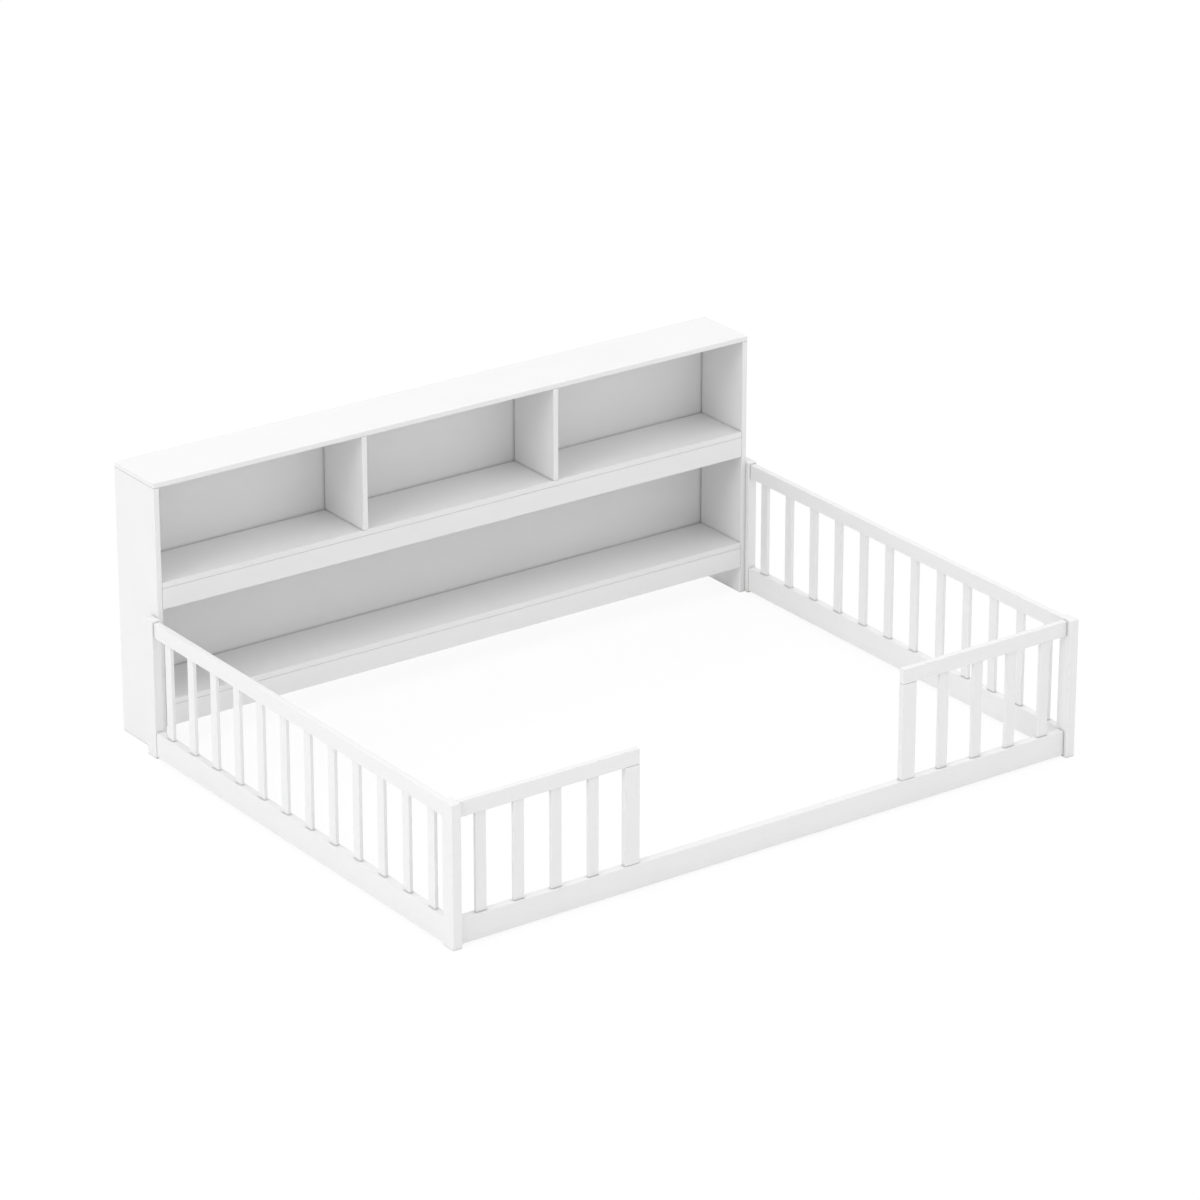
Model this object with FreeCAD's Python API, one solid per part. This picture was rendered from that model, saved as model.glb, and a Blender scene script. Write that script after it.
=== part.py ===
import FreeCAD, Part
import os
from FreeCAD import Vector

# Floor bed for a full mattress: a bookcase along the back and a slatted fence on three sides.
# Millimetres, +X along the bookcase, +Y to the back, +Z up, origin under the middle on the floor.

# Bookcase
case_length = 1960.0          # over the outer faces of the side boards
case_depth = 202.0
case_height = 783.0
board = 16.0                  # thickness of the sides, shelves and dividers
board_round = 1.0             # front edges of the boards
top_thick = 14.0
top_ease = 1.0                # edges of the top board
back_thick = 4.0
back_inset = 4.0              # rear edges of the sides and top, behind the back panel
back_lap = 8.0                # rebate in each side board that takes the back panel
back_play = 0.5
upper_shelf_top = 496.0
lower_shelf_top = 155.0
apron_height = 60.0
apron_thick = 16.0
divider_offset = 316.5        # middle of the bed to the middle of a divider

# Tongues that hold the bookcase boards together
tongue_thick = 6.0
tongue_length = 6.0
tongue_stop = 20.0            # from the front and the rear edge of a board
apron_shoulder = 10.0

# Fence
fence_reach = 1433.0          # bookcase front to the front faces of the front posts
post_width = 28.0
post_depth = 45.0
post_height = 400.0
post_proud = 14.5             # the rear posts stand this far in front of the bookcase
post_round = 2.5              # upright edges of the posts
post_ease = 2.0               # edges round the top and the foot of a post
top_rail_thick = 18.0
top_rail_height = 43.0
bottom_rail_thick = 24.0
bottom_rail_height = 70.0
rail_round = 2.0              # long edges of the rails
floor_clear = 6.5             # under the bottom rails
rail_drop = 4.5               # top of a post down to the top rails
front_rail_line = 24.0        # middle of the front rails, behind the posts' front faces
entry_width = 849.0
entry_post_width = 45.0
entry_post_ease = 2.0

# Slats
side_slat_width = 30.0
front_slat_width = 32.0
slat_thick = 10.0
slat_ease = 1.5
side_slats = 12
front_slats = 4
side_end_gap = 47.0           # post to the first slat of a side
front_end_gap = 55.0          # corner post to the first slat of the front
front_entry_gap = 80.0        # entry post to the last slat of the front

# Tenons of the fence and their mortises
glue_play = 0.1               # round a tenon, a tongue, a dowel or a cam
end_room = 1.0                # past the end of a tenon or a dowel
slat_shoulder = 2.0
slat_tenon = 8.0
entry_shoulder = 4.0
entry_tenon = 12.0
rail_cheek = 5.0
rail_shoulder = 9.0
rail_tenon = 12.0

# Cam locks that pull the front rails to the corner posts
cam_radius = 7.5
cam_rise = 12.0               # lower edge of the rail to the middle of the cam
cam_setback = 24.0            # end of the rail to the middle of the cam
cam_web = 4.5                 # cam depth past the bolt's axis
cam_slot = 2.0                # width of the driver slot
cam_slot_depth = 1.5
bolt_radius = 3.0
bolt_grip = 12.0              # length of a bolt in the post
bolt_play = 0.4
peg_rise = 6.0                # bolt's axis up to the locating tongue beside it

# Dowels and screws that hold the rear posts to the bookcase
dowel_radius = 4.0
dowel_skin = 6.0              # wood left past the end of a dowel
dowel_drop = 60.0             # below the top of the post
screw_radius = 2.5
screw_head_radius = 5.0
screw_head = 3.0
screw_grip = 20.0             # length of a screw in the post
screw_rise = 15.0             # above the lower edge of the lower apron

# Places worked out from the sizes above
front = -(fence_reach + case_depth) / 2
case_front = front + fence_reach
case_back = case_front + case_depth
panel_back = case_back - back_inset
inner_back = panel_back - back_thick
half_case = case_length / 2
half_inside = half_case - board
top_low = case_height - top_thick
shelf_tops = dict(upper=upper_shelf_top, lower=lower_shelf_top)
rear_post_front = case_front - post_proud
rear_post_back = rear_post_front + post_depth
front_post_back = front + post_depth
front_line = front + front_rail_line
post_middle = half_case + post_width / 2
bottom_rail_top = floor_clear + bottom_rail_height
top_rail_top = post_height - rail_drop
top_rail_low = top_rail_top - top_rail_height
entry_half = entry_width / 2
entry_outer = entry_half + entry_post_width

bottom_span = (floor_clear, bottom_rail_top)
slat_span = (bottom_rail_top, top_rail_low)
top_span = (top_rail_low, top_rail_top)

slat_stock = dict(thick=slat_thick, ease=slat_ease, shoulder=slat_shoulder, tenon=slat_tenon)
side_stock = dict(slat_stock, width=side_slat_width)
front_stock = dict(slat_stock, width=front_slat_width)
entry_stock = dict(width=entry_post_width, thick=top_rail_thick, ease=entry_post_ease,
                   shoulder=entry_shoulder, tenon=entry_tenon)

same_place = 0.01             # how near an edge lies to the plane it is looked for in
solids = {}
cuts = {}
fasteners = dict(dowels=[], cam_locks=[], cam_bolts=[], post_screws=[])
sides = dict(left=-1, right=1)
up = Vector(0, 0, 1)
to_front = Vector(0, -1, 0)
to_right = Vector(1, 0, 0)


def span(middle, size):
    return (middle - size / 2, middle + size / 2)


def grown(pair, amount):
    return (pair[0] - amount, pair[1] + amount)


def outward(sign, near, far):
    # a stretch that starts near the middle and runs out to the left or the right
    return (near, far) if sign > 0 else (-far, -near)


def block(x, y, z):
    return Part.makeBox(x[1] - x[0], y[1] - y[0], z[1] - z[0], Vector(x[0], y[0], z[0]))


def bar(run, length, across, height):
    # a block whose length runs along x or along y
    return block(length, across, height) if run == "x" else block(across, length, height)


def rod(start, direction, length, radius):
    return Part.makeCylinder(radius, length, start, direction)


def turned(outline, start, direction):
    # a round piece from pairs of radius and distance along its axis
    points = [Vector(radius, 0, distance) for radius, distance in outline]
    face = Part.Face(Part.makePolygon(points + points[:1]))
    shape = face.revolve(Vector(0, 0, 0), up, 360)
    shape.Placement = FreeCAD.Placement(start, FreeCAD.Rotation(up, direction))
    return shape


def edges_along(shape, axis):
    # the edges that run the whole way along x, y or z
    name = axis.upper() + "Length"
    reach = getattr(shape.BoundBox, name)
    return [edge for edge in shape.Edges if getattr(edge.BoundBox, name) > reach / 2]


def edges_at(edges, axis, value):
    # the edges that lie in one plane
    low = axis.upper() + "Min"
    high = axis.upper() + "Max"
    return [edge for edge in edges
            if abs(getattr(edge.BoundBox, low) - value) < same_place
            and abs(getattr(edge.BoundBox, high) - value) < same_place]


def rounded_front(shape, axis):
    return shape.makeFillet(board_round, edges_at(edges_along(shape, axis), "y", case_front))


def cut_from(node, tool):
    cuts.setdefault(node, []).append(tool)


def tongue(node, neighbour, x, y, z):
    # a tongue on one piece that is glued into a groove of the next
    solids[node] = solids[node].fuse(block(x, y, z))
    cut_from(neighbour, block(grown(x, glue_play), grown(y, glue_play), grown(z, glue_play)))


def bookcase_boards():
    for side, sign in sides.items():
        panel = block(outward(sign, half_inside, half_case), (case_front, case_back), (0, top_low))
        panel = rounded_front(panel, "z")
        rebate = block(outward(sign, 0, half_inside + back_lap), (inner_back, case_back), (0, top_low))
        solids["case_%s_side" % side] = panel.cut(rebate)
        middle = span(sign * divider_offset, board)
        divider = block(middle, (case_front, inner_back), (upper_shelf_top, top_low))
        solids[side + "_divider"] = rounded_front(divider, "z")

    top = block((-half_case, half_case), (case_front, case_back), (top_low, case_height))
    solids["case_top"] = top.makeChamfer(top_ease, top.Edges)

    inside = (-half_inside, half_inside)
    for level, shelf_top in shelf_tops.items():
        shelf_low = shelf_top - board
        shelf = block(inside, (case_front, inner_back), (shelf_low, shelf_top))
        solids[level + "_shelf"] = rounded_front(shelf, "x")
        apron = block(inside, (case_front, case_front + apron_thick), (shelf_low - apron_height, shelf_low))
        solids[level + "_apron"] = rounded_front(apron, "x")

    half_back = half_inside + back_lap - back_play
    solids["back_panel"] = block((-half_back, half_back), (inner_back, panel_back),
                                 (lower_shelf_top - board, top_low))


def bookcase_tongues():
    run = (case_front + tongue_stop, inner_back - tongue_stop)
    for side, sign in sides.items():
        panel = "case_%s_side" % side
        divider = side + "_divider"
        into_top = (top_low, top_low + tongue_length)
        tongue(panel, "case_top", span(sign * (half_case - board / 2), tongue_thick), run, into_top)
        middle = span(sign * divider_offset, tongue_thick)
        tongue(divider, "case_top", middle, run, into_top)
        tongue(divider, "upper_shelf", middle, run, (upper_shelf_top - tongue_length, upper_shelf_top))
        into_side = outward(sign, half_inside, half_inside + tongue_length)
        for level, shelf_top in shelf_tops.items():
            tongue(level + "_shelf", panel, into_side, run, span(shelf_top - board / 2, tongue_thick))
            apron_top = shelf_top - board
            tongue(level + "_apron", panel, into_side, span(case_front + apron_thick / 2, tongue_thick),
                   grown((apron_top - apron_height, apron_top), -apron_shoulder))


def corner_posts():
    for side, sign in sides.items():
        x = outward(sign, half_case, half_case + post_width)
        for place, y in (("front", front), ("back", rear_post_front)):
            post = block(x, (y, y + post_depth), (0, post_height))
            post = post.makeFillet(post_round, edges_along(post, "z"))
            ends = edges_at(post.Edges, "z", 0) + edges_at(post.Edges, "z", post_height)
            solids["%s_%s_post" % (place, side)] = post.makeChamfer(post_ease, ends)


def screw_shape(seat, away, length, play):
    head = screw_head_radius + play
    shank = screw_radius + play
    return turned([(0, 0), (head, 0), (shank, screw_head), (shank, length), (0, length)], seat, away)


def rear_post_fasteners():
    # a dowel near the top and a screw behind the lower apron hold each rear post to the bookcase
    dowel_y = (case_front + rear_post_back) / 2
    dowel_z = post_height - dowel_drop
    screw_y = (case_front + apron_thick + rear_post_back) / 2
    screw_z = lower_shelf_top - board - apron_height + screw_rise
    for side, sign in sides.items():
        panel = "case_%s_side" % side
        post = "back_%s_post" % side
        away = to_right * sign

        start = half_case - board + dowel_skin
        end = half_case + post_width - dowel_skin
        dowel = rod(Vector(sign * start, dowel_y, dowel_z), away, end - start, dowel_radius)
        fasteners["dowels"].append(dowel)
        bore = rod(Vector(sign * (start - end_room), dowel_y, dowel_z), away,
                   end - start + 2 * end_room, dowel_radius + glue_play)
        cut_from(panel, bore)
        cut_from(post, bore)

        seat = Vector(sign * half_inside, screw_y, screw_z)
        length = board + screw_grip
        fasteners["post_screws"].append(screw_shape(seat, away, length, 0))
        hole = screw_shape(seat, away, length + end_room, glue_play)
        cut_from(panel, hole)
        cut_from(post, hole)


def rail(name, run, length, line, thick, height):
    body = bar(run, length, span(line, thick), height)
    solids[name] = body.makeFillet(rail_round, edges_along(body, run))


def rail_tenons(name, run, length, line, thick, height, posts):
    # one tenon through both ends of the rail, and a mortise for it in both posts
    across = span(line, thick - 2 * rail_cheek)
    tall = grown(height, -rail_shoulder)
    solids[name] = solids[name].fuse(bar(run, grown(length, rail_tenon), across, tall))
    mortise = bar(run, grown(length, rail_tenon + end_room),
                  grown(across, glue_play), grown(tall, glue_play))
    for post in posts:
        cut_from(post, mortise)


def upright(name, run, middle, line, stock, lower, upper):
    # a slat or an entry post, tenoned into the rail below and the rail above
    body = bar(run, span(middle, stock["width"]), span(line, stock["thick"]), slat_span)
    body = body.makeChamfer(stock["ease"], edges_along(body, "z"))
    wide = span(middle, stock["width"] - 2 * stock["shoulder"])
    across = span(line, stock["thick"] - 2 * stock["shoulder"])
    solids[name] = body.fuse(bar(run, wide, across, grown(slat_span, stock["tenon"])))
    mortise = bar(run, grown(wide, glue_play), grown(across, glue_play),
                  grown(slat_span, stock["tenon"] + end_room))
    cut_from(lower, mortise)
    cut_from(upper, mortise)


def side_fences():
    length = (front_post_back, rear_post_front)
    first = length[1] - side_end_gap - side_slat_width / 2
    last = length[0] + side_end_gap + side_slat_width / 2
    pitch = (first - last) / (side_slats - 1)
    for side, sign in sides.items():
        line = sign * post_middle
        posts = ("front_%s_post" % side, "back_%s_post" % side)
        lower = side + "_bottom_rail"
        upper = side + "_top_rail"
        for name, thick, height in ((lower, bottom_rail_thick, bottom_span),
                                    (upper, top_rail_thick, top_span)):
            rail(name, "y", length, line, thick, height)
            rail_tenons(name, "y", length, line, thick, height, posts)
        for count in range(side_slats):
            upright("%s_slat_%02d" % (side, count + 1), "y", first - count * pitch, line, side_stock,
                    lower, upper)


def front_fence():
    lower = "front_bottom_rail"
    rail(lower, "x", (-half_case, half_case), front_line, bottom_rail_thick, bottom_span)
    first = half_case - front_end_gap - front_slat_width / 2
    last = entry_outer + front_entry_gap + front_slat_width / 2
    pitch = (first - last) / (front_slats - 1)
    for side, sign in sides.items():
        upper = "front_%s_top_rail" % side
        post = "front_%s_post" % side
        rail(upper, "x", outward(sign, entry_half, half_case), front_line, top_rail_thick, top_span)
        upright(side + "_entry_post", "x", sign * (entry_half + entry_post_width / 2), front_line,
                entry_stock, lower, upper)
        for count in range(front_slats):
            upright("front_%s_slat_%d" % (side, count + 1), "x", sign * (first - count * pitch), front_line,
                    front_stock, lower, upper)
        cam_joint(lower, sign, bottom_rail_thick, bottom_span, post)
        cam_joint(upper, sign, top_rail_thick, top_span, post)


def cam_joint(rail_name, sign, thick, height, post):
    # a cam in the rail's inner face pulls a bolt that is screwed into the post
    away = to_right * sign
    cam_x = half_case - cam_setback
    cam_z = height[0] + cam_rise
    inner_face = front_line + thick / 2
    cam_depth = thick / 2 + cam_web
    mouth = Vector(sign * cam_x, inner_face, cam_z)
    notch = 2 * (bolt_radius + bolt_play)
    bolt_way = block(outward(sign, cam_x, half_case), span(front_line, notch), span(cam_z, notch))
    driver_slot = block(span(sign * cam_x, 2 * cam_radius), (inner_face - cam_slot_depth, inner_face),
                        span(cam_z, cam_slot))
    cam = rod(mouth, to_front, cam_depth, cam_radius)
    fasteners["cam_locks"].append(cam.cut([bolt_way, driver_slot]))
    cut_from(rail_name, rod(mouth, to_front, cam_depth + glue_play, cam_radius + glue_play))

    bolt_start = Vector(sign * (cam_x + bolt_play), front_line, cam_z)
    bolt_length = cam_setback - bolt_play + bolt_grip
    fasteners["cam_bolts"].append(rod(bolt_start, away, bolt_length, bolt_radius))
    bore = rod(bolt_start, away, bolt_length + end_room, bolt_radius + glue_play)
    cut_from(rail_name, bore)
    cut_from(post, bore)

    tongue(rail_name, post, outward(sign, half_case, half_case + tongue_length),
           span(front_line, thick - 2 * rail_cheek), (cam_z + peg_rise, height[1] - rail_shoulder))


def write_parts():
    os.makedirs("parts", exist_ok=True)
    for name, shape in solids.items():
        finished = shape.cut(cuts[name]) if name in cuts else shape
        finished.removeSplitter().exportStep("parts/%s.step" % name)
    for name, group in fasteners.items():
        Part.makeCompound(group).exportStep("parts/%s.step" % name)


bookcase_boards()
bookcase_tongues()
corner_posts()
rear_post_fasteners()
side_fences()
front_fence()
write_parts()
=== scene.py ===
import bpy
import bmesh
import math
from mathutils import Matrix, Vector


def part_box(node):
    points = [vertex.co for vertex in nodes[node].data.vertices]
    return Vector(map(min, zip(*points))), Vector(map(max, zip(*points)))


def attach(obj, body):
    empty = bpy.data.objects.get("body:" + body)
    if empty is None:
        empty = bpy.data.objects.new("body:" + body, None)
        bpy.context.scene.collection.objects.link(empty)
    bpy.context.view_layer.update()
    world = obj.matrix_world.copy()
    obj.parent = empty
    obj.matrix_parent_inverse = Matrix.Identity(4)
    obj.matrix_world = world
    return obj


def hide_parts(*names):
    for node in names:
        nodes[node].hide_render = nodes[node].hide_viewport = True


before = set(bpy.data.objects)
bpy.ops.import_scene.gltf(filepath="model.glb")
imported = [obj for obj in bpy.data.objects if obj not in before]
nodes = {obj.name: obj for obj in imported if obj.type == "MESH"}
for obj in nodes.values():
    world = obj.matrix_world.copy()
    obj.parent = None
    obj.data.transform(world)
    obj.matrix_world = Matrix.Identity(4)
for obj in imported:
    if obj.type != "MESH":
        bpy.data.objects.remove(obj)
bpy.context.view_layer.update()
print("frame loaded:", len(nodes), "nodes")

axisNumber = {"x": 0, "y": 1, "z": 2}
sideSign = {"left": -1, "right": 1}


def lowOf(node):
    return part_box(node)[0]


def highOf(node):
    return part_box(node)[1]


# shader helpers

def startMaterial(name):
    material = bpy.data.materials.new(name)
    material.use_nodes = True
    tree = material.node_tree
    return material, tree, tree.nodes["Principled BSDF"]


def objectPlace(tree):
    return tree.nodes.new("ShaderNodeTexCoord").outputs["Object"]


def noiseOn(tree, place, scale, detail, stretch=(1, 1, 1)):
    mapping = tree.nodes.new("ShaderNodeMapping")
    mapping.inputs["Scale"].default_value = stretch
    tree.links.new(place, mapping.inputs["Vector"])
    noise = tree.nodes.new("ShaderNodeTexNoise")
    noise.inputs["Scale"].default_value = scale
    noise.inputs["Detail"].default_value = detail
    tree.links.new(mapping.outputs["Vector"], noise.inputs["Vector"])
    return noise.outputs["Fac"]


def spread(tree, value, source, target):
    # maps one pair of limits to another
    node = tree.nodes.new("ShaderNodeMapRange")
    limits = {"From Min": source[0], "From Max": source[1], "To Min": target[0], "To Max": target[1]}
    for socket, limit in limits.items():
        node.inputs[socket].default_value = limit
    tree.links.new(value, node.inputs["Value"])
    return node.outputs["Result"]


def combine(tree, operation, first, second):
    node = tree.nodes.new("ShaderNodeMath")
    node.operation = operation
    tree.links.new(first, node.inputs[0])
    tree.links.new(second, node.inputs[1])
    return node.outputs["Value"]


def colourBetween(tree, share, first, second):
    # each colour is a socket or three plain numbers
    node = tree.nodes.new("ShaderNodeMix")
    node.data_type = "RGBA"
    tree.links.new(share, node.inputs["Factor"])
    for socket, colour in ((node.inputs["A"], first), (node.inputs["B"], second)):
        if isinstance(colour, bpy.types.NodeSocket):
            tree.links.new(colour, socket)
        else:
            socket.default_value = (*colour, 1.0)
    return node.outputs["Result"]


def bumpOver(tree, height, strength, distance, below=None):
    node = tree.nodes.new("ShaderNodeBump")
    node.inputs["Strength"].default_value = strength
    node.inputs["Distance"].default_value = distance
    tree.links.new(height, node.inputs["Height"])
    if below is not None:
        tree.links.new(below, node.inputs["Normal"])
    return node.outputs["Normal"]


# white satin paint over wood, with the grain along x, y or z

paintLook = {
    "colour": (0.808, 0.808, 0.808),
    "thin": (0.778, 0.778, 0.776),      # where the coat lies thin over the grain
    "worn": (0.690, 0.684, 0.672),      # primer that shows on rubbed edges
    "paintedShade": (0.620, 0.618, 0.612),      # painted shade, darker where pieces meet and in corners
    "roughness": (0.36, 0.48),
    "specular": 0.3,
    # marks per metre in the grain
    "grainAcross": 320.0,
    "grainAlong": 7.0,
    "grainDetail": 4.0,
    # scale and detail of the other noises
    "cloud": (5.0, 2.0),
    "stipple": (620.0, 2.0),            # roller marks
    "rub": (46.0, 3.0),
    # the range of each noise that shows, and how much of it at most
    "grainFrom": (0.45, 0.75),
    "grainMost": 0.55,
    "cloudFrom": (0.35, 0.70),
    "cloudMost": 0.30,
    "sheenFrom": (0.3, 0.7),
    "rubFrom": (0.56, 0.74),
    "rubMost": 0.55,
    # painted shade: darker where least is open within its reach, in corners, joints and near the floor
    "paintedShadeReach": 0.011,
    "paintedShadeFrom": (0.45, 0.90),
    "paintedShadeMost": 0.90,
    "paintedShadeSamples": 16,
    # strength and height
    "grainBump": (0.35, 0.0004),
    "stippleBump": (0.22, 0.0003),
}
grainDepth = {"board": 0.45, "timber": 1.0}


def paintMaterial(stock, axis):
    look = paintLook
    depth = grainDepth[stock]
    material, tree, shader = startMaterial("white_paint_%s_%s" % (stock, axis))
    place = objectPlace(tree)
    stretch = [look["grainAcross"]] * 3
    stretch[axisNumber[axis]] = look["grainAlong"]
    fibre = noiseOn(tree, place, 1.0, look["grainDetail"], stretch)
    cloud = noiseOn(tree, place, *look["cloud"])
    stipple = noiseOn(tree, place, *look["stipple"])
    rubbed = noiseOn(tree, place, *look["rub"])

    streak = spread(tree, fibre, look["grainFrom"], (0.0, look["grainMost"] * depth))
    coat = colourBetween(tree, streak, look["colour"], look["thin"])
    drift = spread(tree, cloud, look["cloudFrom"], (0.0, look["cloudMost"]))
    coat = colourBetween(tree, drift, coat, look["thin"])
    # painted shade: an ambient occlusion node darkens the colour in corners, joints and near the floor
    corner = tree.nodes.new("ShaderNodeAmbientOcclusion")
    corner.samples = look["paintedShadeSamples"]
    corner.inputs["Distance"].default_value = look["paintedShadeReach"]
    paintedShade = spread(tree, corner.outputs["AO"], look["paintedShadeFrom"], (look["paintedShadeMost"], 0.0))
    coat = colourBetween(tree, paintedShade, coat, look["paintedShade"])
    edge = tree.nodes.new("ShaderNodeAttribute")
    edge.attribute_name = "edge"
    patches = spread(tree, rubbed, look["rubFrom"], (0.0, look["rubMost"]))
    wear = combine(tree, "MULTIPLY", edge.outputs["Fac"], patches)
    tree.links.new(colourBetween(tree, wear, coat, look["worn"]), shader.inputs["Base Color"])

    sheen = spread(tree, cloud, look["sheenFrom"], look["roughness"])
    tree.links.new(sheen, shader.inputs["Roughness"])
    strength, height = look["grainBump"]
    grainBump = bumpOver(tree, fibre, strength * depth, height)
    tree.links.new(bumpOver(tree, stipple, *look["stippleBump"], grainBump), shader.inputs["Normal"])
    shader.inputs["Specular IOR Level"].default_value = look["specular"]
    return material


paintAlong = {}
for stock, axes in (("board", "xz"), ("timber", "xyz")):
    for axis in axes:
        paintAlong[stock, axis] = paintMaterial(stock, axis)
print("paint mixed:", len(paintAlong), "kinds")


# beech, zinc and steel for what holds the pieces together

beechLook = {
    "pale": (0.70, 0.53, 0.36),
    "dark": (0.56, 0.39, 0.24),
    # marks per metre, along x and across it
    "fibre": (30.0, 900.0, 900.0),
    "fibreDetail": 4.0,
    "fibreFrom": (0.35, 0.65),
    "fleck": (160.0, 1400.0, 1400.0),
    "fleckDetail": 2.0,
    "fleckFrom": (0.60, 0.72),
    "fleckMost": 0.5,
    "sheenFrom": (0.3, 0.7),
    "roughness": (0.50, 0.68),
    "bump": (0.4, 0.0003),
}
metalLook = {
    # scale and detail of the noises
    "cast": (420.0, 4.0),
    "fine": (2600.0, 2.0),
    "dullFrom": (0.4, 0.7),
    "sheenFrom": (0.3, 0.7),
    "bump": (0.25, 0.0001),
}
zincLook = {"bright": (0.66, 0.66, 0.67), "dull": (0.50, 0.50, 0.52), "roughness": (0.34, 0.52)}
steelLook = {"bright": (0.62, 0.62, 0.63), "dull": (0.46, 0.46, 0.48), "roughness": (0.22, 0.38)}


def beechMaterial(name):
    look = beechLook
    material, tree, shader = startMaterial(name)
    place = objectPlace(tree)
    fibre = noiseOn(tree, place, 1.0, look["fibreDetail"], look["fibre"])
    fleck = noiseOn(tree, place, 1.0, look["fleckDetail"], look["fleck"])
    stripes = spread(tree, fibre, look["fibreFrom"], (0.0, 1.0))
    ground = colourBetween(tree, stripes, look["pale"], look["dark"])
    spots = spread(tree, fleck, look["fleckFrom"], (0.0, look["fleckMost"]))
    tree.links.new(colourBetween(tree, spots, ground, look["dark"]), shader.inputs["Base Color"])
    sheen = spread(tree, fibre, look["sheenFrom"], look["roughness"])
    tree.links.new(sheen, shader.inputs["Roughness"])
    tree.links.new(bumpOver(tree, fibre, *look["bump"]), shader.inputs["Normal"])
    return material


def metalMaterial(name, metal):
    look = metalLook
    material, tree, shader = startMaterial(name)
    place = objectPlace(tree)
    cast = noiseOn(tree, place, *look["cast"])
    fine = noiseOn(tree, place, *look["fine"])
    patches = spread(tree, cast, look["dullFrom"], (0.0, 1.0))
    colour = colourBetween(tree, patches, metal["bright"], metal["dull"])
    tree.links.new(colour, shader.inputs["Base Color"])
    sheen = spread(tree, cast, look["sheenFrom"], metal["roughness"])
    tree.links.new(sheen, shader.inputs["Roughness"])
    tree.links.new(bumpOver(tree, fine, *look["bump"]), shader.inputs["Normal"])
    shader.inputs["Metallic"].default_value = 1.0
    return material


steel = metalMaterial("zinc_plated_steel", steelLook)
keptNodes = {
    "dowels": beechMaterial("beech_dowel"),
    "cam_locks": metalMaterial("cast_zinc", zincLook),
    "cam_bolts": steel,
    "post_screws": steel,
}
for node, material in keptNodes.items():
    nodes[node].data.materials.clear()
    nodes[node].data.materials.append(material)
print("fasteners finished:", ", ".join(keptNodes))


# pieces

meshing = {
    "longSegments": 4,      # round the long edges of a bar
    "endSegments": 3,       # round the rims of its ends
    "holeSegments": 40,
    "sameSpot": 1e-5,       # metres
    "sameWay": 0.99,        # cosine between two directions
    "flatNormal": 0.9995,   # a face squarer than this to an axis is no rounded edge
    "flatWeight": 100,
}


def vertsIn(geometry):
    return [v for v in geometry if isinstance(v, bmesh.types.BMVert)]


def finishPiece(name, bm, material, slot, *replaced):
    mesh = bpy.data.meshes.new(name)
    bm.normal_update()
    bm.to_mesh(mesh)
    bm.free()
    rim = mesh.attributes.new("edge", "FLOAT", "FACE")
    for face in mesh.polygons:
        face.use_smooth = True
        isFlat = max(abs(n) for n in face.normal) > meshing["flatNormal"]
        rim.data[face.index].value = 0.0 if isFlat else 1.0
    mesh.materials.append(material)
    piece = bpy.data.objects.new(name, mesh)
    bpy.context.scene.collection.objects.link(piece)
    weighted = piece.modifiers.new("flat faces stay flat", "WEIGHTED_NORMAL")
    weighted.weight = meshing["flatWeight"]
    weighted.keep_sharp = True
    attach(piece, "root")
    if replaced:
        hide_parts(*replaced)


def finishPainted(node, bm, stock, axis):
    finishPiece(node + "_painted", bm, paintAlong[stock, axis], "white_paint", node)


def bevelEdges(bm, edges, radius, segments):
    bmesh.ops.bevel(bm, geom=edges, offset=radius, offset_type="OFFSET", segments=segments,
                    profile=0.5, affect="EDGES", clamp_overlap=True, material=-1)


def edgesAlong(bm, axis):
    n = axisNumber[axis]
    return [e for e in bm.edges
            if abs((e.verts[0].co - e.verts[1].co).normalized()[n]) > meshing["sameWay"]]


def edgesAtEnds(bm, axis, ends):
    n = axisNumber[axis]
    return [e for e in bm.edges
            if any(all(abs(v.co[n] - end) < meshing["sameSpot"] for v in e.verts) for end in ends)]


def edgesNear(edges, spot):
    # the edges whose two ends lie at the given x, y and z, where None is any
    known = [(n, s) for n, s in enumerate(spot) if s is not None]
    return [e for e in edges
            if all(abs(v.co[n] - s) < meshing["sameSpot"] for v in e.verts for n, s in known)]


def easedBlock(low, high, axis, longRound, endRound):
    # a bar with its long edges rounded first and then the rims of its two ends
    n = axisNumber[axis]
    bm = bmesh.new()
    bmesh.ops.create_cube(bm, size=1.0)
    bmesh.ops.scale(bm, vec=high - low, verts=bm.verts)
    bmesh.ops.translate(bm, vec=(low + high) / 2, verts=bm.verts)
    bevelEdges(bm, edgesAlong(bm, axis), longRound, meshing["longSegments"])
    bevelEdges(bm, edgesAtEnds(bm, axis, (low[n], high[n])), endRound, meshing["endSegments"])
    return bm


def boxOfSome(node, wanted):
    # lowest and highest corners of the vertices of a CAD node that are wanted
    spots = [v.co for v in nodes[node].data.vertices if wanted(v.co)]
    return [Vector([pick(s[n] for s in spots) for n in range(3)]) for pick in (min, max)]


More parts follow.
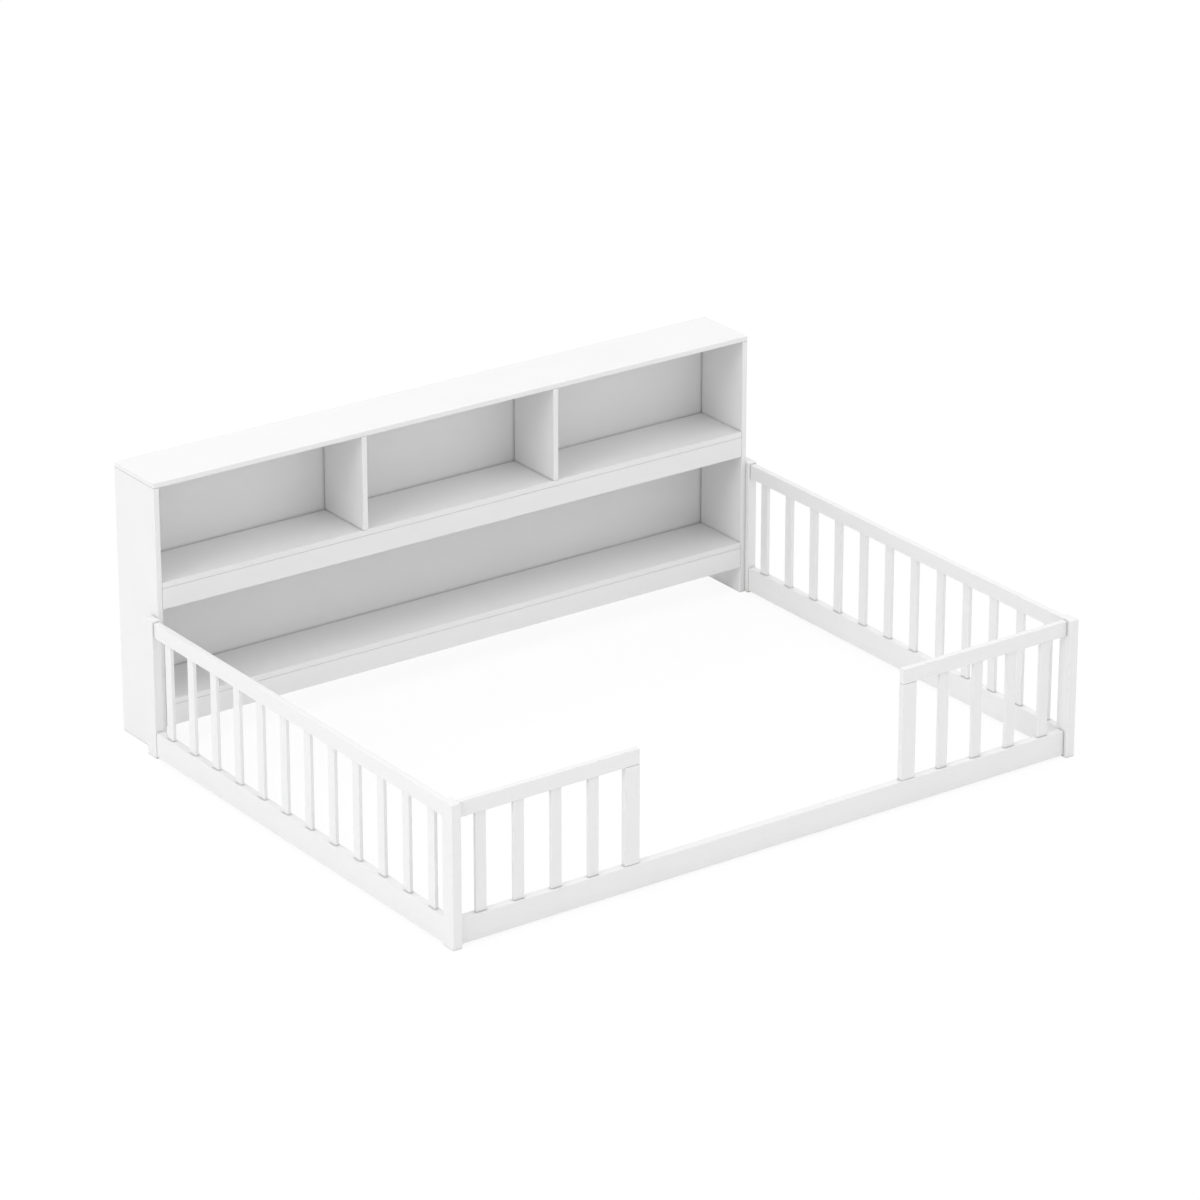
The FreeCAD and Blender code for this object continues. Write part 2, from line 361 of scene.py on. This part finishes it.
def drill(bm, outward, holes):
    # blind round holes in the largest face that looks outward
    bm.normal_update()
    facing = [f for f in bm.faces if f.normal.dot(outward) > meshing["sameWay"]]
    face = max(facing, key=lambda f: f.calc_area())
    level = face.calc_center_median().dot(outward)
    turn = outward.to_track_quat("Z", "Y").to_matrix().to_4x4()
    border = list(face.edges)
    rims = []
    for hole in holes:
        lift = level - hole["middle"].dot(outward)
        place = Matrix.Translation(hole["middle"] + outward * lift)
        ring = bmesh.ops.create_circle(bm, segments=meshing["holeSegments"], radius=hole["radius"],
                                       matrix=place @ turn)["verts"]
        rims.append(list(dict.fromkeys(e for v in ring for e in v.link_edges)))
    bmesh.ops.delete(bm, geom=[face], context="FACES_ONLY")
    bmesh.ops.triangle_fill(bm, edges=border + sum(rims, []), use_beauty=True)
    for rim, hole in zip(rims, holes):
        deep = vertsIn(bmesh.ops.extrude_edge_only(bm, edges=rim)["geom"])
        bmesh.ops.translate(bm, vec=outward * -hole["depth"], verts=deep)
        linked = dict.fromkeys(e for v in deep for e in v.link_edges)
        ends = [e for e in linked if all(v in deep for v in e.verts)]
        bmesh.ops.edgeloop_fill(bm, edges=ends)
        for edge in rim + ends:
            edge.smooth = False
    bmesh.ops.recalc_face_normals(bm, faces=bm.faces)


# bookcase

bookcase = {
    "boardRound": 0.0010,
    "boardEnd": 0.0007,
    "sideEndSegments": 2,
    "topRound": 0.0012,
    "panelRound": 0.0003,
    "seam": 0.0006,         # hairline where one board meets the next
    "backSeam": 0.0020,     # in front of the back panel
    "screwSink": 0.0004,    # round and behind the rim of a screw head
}
backPin = {
    "radius": 0.0022,
    "rise": 0.0002,
    "taper": 0.8,
    "segments": 16,
    "spacing": 0.15,
    # from the end of a row to its first pin
    "sideMargin": 0.03,
    "shelfMargin": 0.08,
    "dividerMargin": 0.05,
}


def sideBoard(side):
    # an L shaped outline, rebated for the back panel, drawn up to the top board
    sign = sideSign[side]
    node = "case_%s_side" % side
    low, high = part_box(node)
    outer, inner = (low.x, high.x) if sign < 0 else (high.x, low.x)
    lap = highOf("back_panel").x * sign
    rebate = lowOf("back_panel").y - bookcase["backSeam"]
    rise = lowOf("case_top").z - bookcase["seam"]
    outline = [
        (outer, low.y), (inner, low.y), (inner, rebate),
        (lap, rebate), (lap, high.y), (outer, high.y),
    ]
    bm = bmesh.new()
    base = bm.faces.new([bm.verts.new((x, y, 0.0)) for x, y in outline])
    grown = bmesh.ops.extrude_face_region(bm, geom=[base])["geom"]
    bmesh.ops.translate(bm, vec=(0, 0, rise), verts=vertsIn(grown))
    bmesh.ops.recalc_face_normals(bm, faces=bm.faces)
    for spot in ((None, low.y, None), (inner, rebate, None), (outer, high.y, None)):
        upright = edgesNear(edgesAlong(bm, "z"), spot)
        bevelEdges(bm, upright, bookcase["boardRound"], meshing["longSegments"])
    ends = edgesAtEnds(bm, "z", (0.0, rise))
    bevelEdges(bm, ends, bookcase["boardEnd"], bookcase["sideEndSegments"])

    headLow, headHigh = boxOfSome("post_screws", lambda spot: spot.x * sign > 0)
    sink = bookcase["screwSink"]
    radius = (headHigh.y - headLow.y) / 2 + sink
    seat = {"middle": (headLow + headHigh) / 2, "radius": radius, "depth": sink}
    drill(bm, Vector((-sign, 0, 0)), [seat])
    finishPainted(node, bm, "board", "z")


def paintedBoard(node, axis, low, high, longRound="boardRound", endRound="boardEnd"):
    bm = easedBlock(low, high, axis, bookcase[longRound], bookcase[endRound])
    finishPainted(node, bm, "board", axis)


def bookcaseBoards():
    seam, backSeam = bookcase["seam"], bookcase["backSeam"]
    for side in sideSign:
        sideBoard(side)
    low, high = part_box("case_top")
    paintedBoard("case_top", "x", low, high, "topRound", "topRound")

    inside = lowOf("case_right_side").x - seam
    for floor in ("upper", "lower"):
        low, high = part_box(floor + "_shelf")
        low.x, high.x, high.y = -inside, inside, high.y - backSeam
        paintedBoard(floor + "_shelf", "x", low, high)
        low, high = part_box(floor + "_apron")
        low.x, high.x, high.z = -inside, inside, lowOf(floor + "_shelf").z - seam
        paintedBoard(floor + "_apron", "x", low, high)
    for side in sideSign:
        low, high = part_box(side + "_divider")
        low.z, high.z = highOf("upper_shelf").z + seam, lowOf("case_top").z - seam
        high.y -= backSeam
        paintedBoard(side + "_divider", "z", low, high)

    # the pin heads reach back as far as the CAD panel does
    low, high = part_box("back_panel")
    high.y -= backPin["rise"]
    paintedBoard("back_panel", "x", low, high, "panelRound", "panelRound")


def evenly(start, end, margin):
    start, end = start + margin, end - margin
    count = max(2, round(abs(end - start) / backPin["spacing"]) + 1)
    return [start + (end - start) * i / (count - 1) for i in range(count)]


def backPins():
    # flat heads of the pins that hold the back panel to the sides, shelves and dividers
    low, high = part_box("back_panel")
    lap = (high.x + lowOf("case_right_side").x) / 2
    spots = []
    for sign in sideSign.values():
        spots += [(sign * lap, z) for z in evenly(low.z, high.z, backPin["sideMargin"])]
    for shelf in ("upper_shelf", "lower_shelf"):
        height = (lowOf(shelf).z + highOf(shelf).z) / 2
        spots += [(x, height) for x in evenly(-lap, lap, backPin["shelfMargin"])]
    for side in sideSign:
        divider = side + "_divider"
        across = (lowOf(divider).x + highOf(divider).x) / 2
        bottom = highOf("upper_shelf").z
        spots += [(across, z) for z in evenly(bottom, high.z, backPin["dividerMargin"])]

    bm = bmesh.new()
    seat = high.y - backPin["rise"]
    for x, z in spots:
        disc = bmesh.ops.create_circle(bm, cap_ends=True, radius=backPin["radius"],
                                       segments=backPin["segments"])["verts"]
        flat = list({f for v in disc for f in v.link_faces})
        rim = vertsIn(bmesh.ops.extrude_face_region(bm, geom=flat)["geom"])
        bmesh.ops.translate(bm, vec=(0, 0, backPin["rise"]), verts=rim)
        bmesh.ops.scale(bm, vec=(backPin["taper"], backPin["taper"], 1.0), verts=rim)
        for v in disc + rim:
            v.co = Vector((x + v.co.x, seat + v.co.z, z + v.co.y))
    bmesh.ops.recalc_face_normals(bm, faces=bm.faces)
    finishPiece("back_panel_pins", bm, steel, "steel")
    return len(spots)


bookcaseBoards()
print("bookcase built,", backPins(), "back panel pins")


# fence

fence = {
    "postRound": 0.0026,
    "postEnd": 0.0020,
    "railRound": 0.0018,
    "railEnd": 0.0012,
    "slatRound": 0.0014,
    "slatEnd": 0.0010,
    "seam": 0.0006,
    "sideSlats": 12,
    "frontSlats": 4,
    "camGap": 0.0003,       # round a cam lock in its hole
}


def fencePosts():
    for side in sideSign:
        for place in ("front", "back"):
            node = "%s_%s_post" % (place, side)
            low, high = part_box(node)
            bm = easedBlock(low, high, "z", fence["postRound"], fence["postEnd"])
            finishPainted(node, bm, "timber", "z")


def camHole(rail, sign):
    # the hole of the cam lock at the left or right end of a front rail
    low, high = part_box(rail)
    camLow, camHigh = boxOfSome("cam_locks", lambda spot: spot.x * sign > 0 and low.z < spot.z < high.z)
    size = camHigh - camLow
    gap = fence["camGap"]
    return {"middle": (camLow + camHigh) / 2, "radius": size.x / 2 + gap, "depth": size.y + gap}


def paintedRail(node, axis, start, end, camEnds=()):
    low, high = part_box(node)
    n = axisNumber[axis]
    low[n], high[n] = start + fence["seam"], end - fence["seam"]
    bm = easedBlock(low, high, axis, fence["railRound"], fence["railEnd"])
    if camEnds:
        drill(bm, Vector((0, 1, 0)), [camHole(node, sign) for sign in camEnds])
    finishPainted(node, bm, "timber", axis)


def paintedUpright(node, lower, upper, longRound):
    low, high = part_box(node)
    low.z, high.z = highOf(lower).z + fence["seam"], lowOf(upper).z - fence["seam"]
    bm = easedBlock(low, high, "z", longRound, fence["slatEnd"])
    finishPainted(node, bm, "timber", "z")


def sideFence(side):
    start, end = highOf("front_%s_post" % side).y, lowOf("back_%s_post" % side).y
    lower, upper = side + "_bottom_rail", side + "_top_rail"
    paintedRail(lower, "y", start, end)
    paintedRail(upper, "y", start, end)
    for count in range(fence["sideSlats"]):
        paintedUpright("%s_slat_%02d" % (side, count + 1), lower, upper, fence["slatRound"])


def frontFence():
    left, right = highOf("front_left_post").x, lowOf("front_right_post").x
    lower = "front_bottom_rail"
    paintedRail(lower, "x", left, right, camEnds=sideSign.values())
    for side, sign in sideSign.items():
        upper = "front_%s_top_rail" % side
        start, end = (left, highOf(upper).x) if sign < 0 else (lowOf(upper).x, right)
        paintedRail(upper, "x", start, end, camEnds=[sign])
        paintedUpright(side + "_entry_post", lower, upper, fence["railRound"])
        for count in range(fence["frontSlats"]):
            slat = "front_%s_slat_%d" % (side, count + 1)
            paintedUpright(slat, lower, upper, fence["slatRound"])


fencePosts()
for side in sideSign:
    sideFence(side)
frontFence()
print("fence built")


# floor, light and camera

studio = {
    "ambient": 0.65,
    # where each soft lamp stands, its level and how wide it is, in degrees
    "lamps": {
        "key": {"azimuth": 180.0, "elevation": 60.0, "strength": 0.45, "angle": 60.0},
        "side": {"azimuth": 195.0, "elevation": 35.0, "strength": 0.48, "angle": 25.0},
        "fill": {"azimuth": 315.0, "elevation": 45.0, "strength": 0.60, "angle": 60.0},
        "rear": {"azimuth": 90.0, "elevation": 45.0, "strength": 0.64, "angle": 60.0},
    },
    "lampDistance": 6.0,
    "panel": {"place": (-5.0, -1.0, 3.0), "size": 3.0, "watts": 13.0},
    "floorColour": (0.95, 0.95, 0.95),
    "floorRoughness": 0.9,
    "floorShadow": 0.11,        # how much of the shading the camera sees on the floor
    "floorSize": 60.0,
}
camera = {
    "sensor": 36.0,
    "lens": 159.81,
    "place": (-7.622, -10.6785, 5.935),
    # degrees below level, and round from straight along y
    "down": 22.79,
    "turn": -35.61,
}


def seenDirectly(tree):
    # one for what the camera, a mirror or a glass sees, nothing for light that goes on to the bed
    path = tree.nodes.new("ShaderNodeLightPath")
    total = path.outputs["Is Camera Ray"]
    for ray in ("Is Glossy Ray", "Is Transmission Ray"):
        total = combine(tree, "MAXIMUM", total, path.outputs[ray])
    return total


def studioFloor():
    material, tree, shader = startMaterial("studio_floor")
    shader.inputs["Base Color"].default_value = (*studio["floorColour"], 1.0)
    shader.inputs["Roughness"].default_value = studio["floorRoughness"]
    shader.inputs["Specular IOR Level"].default_value = 0.0
    glow = tree.nodes.new("ShaderNodeEmission")
    mix = tree.nodes.new("ShaderNodeMixShader")
    white = spread(tree, seenDirectly(tree), (0.0, 1.0), (0.0, 1.0 - studio["floorShadow"]))
    tree.links.new(white, mix.inputs[0])
    tree.links.new(shader.outputs["BSDF"], mix.inputs[1])
    tree.links.new(glow.outputs["Emission"], mix.inputs[2])
    tree.links.new(mix.outputs["Shader"], tree.nodes["Material Output"].inputs["Surface"])
    bm = bmesh.new()
    bmesh.ops.create_grid(bm, x_segments=1, y_segments=1, size=studio["floorSize"] / 2)
    mesh = bpy.data.meshes.new("studio_floor")
    bm.to_mesh(mesh)
    bm.free()
    mesh.materials.append(material)
    floor = bpy.data.objects.new("studio_floor", mesh)
    bpy.context.scene.collection.objects.link(floor)


def hangLamp(lamp, place):
    holder = bpy.data.objects.new(lamp.name, lamp)
    holder.location = place
    holder.rotation_euler = (-place).to_track_quat("-Z", "Y").to_euler()
    bpy.context.scene.collection.objects.link(holder)


def studioLight():
    for name, setting in studio["lamps"].items():
        lamp = bpy.data.lights.new(name + "_light", "SUN")
        lamp.energy = setting["strength"]
        lamp.angle = math.radians(setting["angle"])
        turn, rise = math.radians(setting["azimuth"]), math.radians(setting["elevation"])
        level = math.cos(rise)
        place = Vector((math.cos(turn) * level, math.sin(turn) * level, math.sin(rise)))
        hangLamp(lamp, place * studio["lampDistance"])
    panel = bpy.data.lights.new("panel_light", "AREA")
    panel.energy = studio["panel"]["watts"]
    panel.size = studio["panel"]["size"]
    hangLamp(panel, Vector(studio["panel"]["place"]))

    world = bpy.data.worlds.new("studio")
    world.use_nodes = True
    bpy.context.scene.world = world
    tree = world.node_tree
    backdrop = tree.nodes["Background"]
    backdrop.inputs["Color"].default_value = (1, 1, 1, 1)
    strength = spread(tree, seenDirectly(tree), (0.0, 1.0), (studio["ambient"], 1.0))
    tree.links.new(strength, backdrop.inputs["Strength"])


def studioCamera():
    lens = bpy.data.cameras.new("camera")
    lens.sensor_width = camera["sensor"]
    lens.lens = camera["lens"]
    holder = bpy.data.objects.new("camera", lens)
    holder.location = camera["place"]
    holder.rotation_euler = (math.radians(90.0 - camera["down"]), 0.0, math.radians(camera["turn"]))
    bpy.context.scene.collection.objects.link(holder)
    bpy.context.scene.camera = holder


studioFloor()
studioLight()
studioCamera()
bpy.context.scene.view_settings.view_transform = "Standard"
print("studio set")
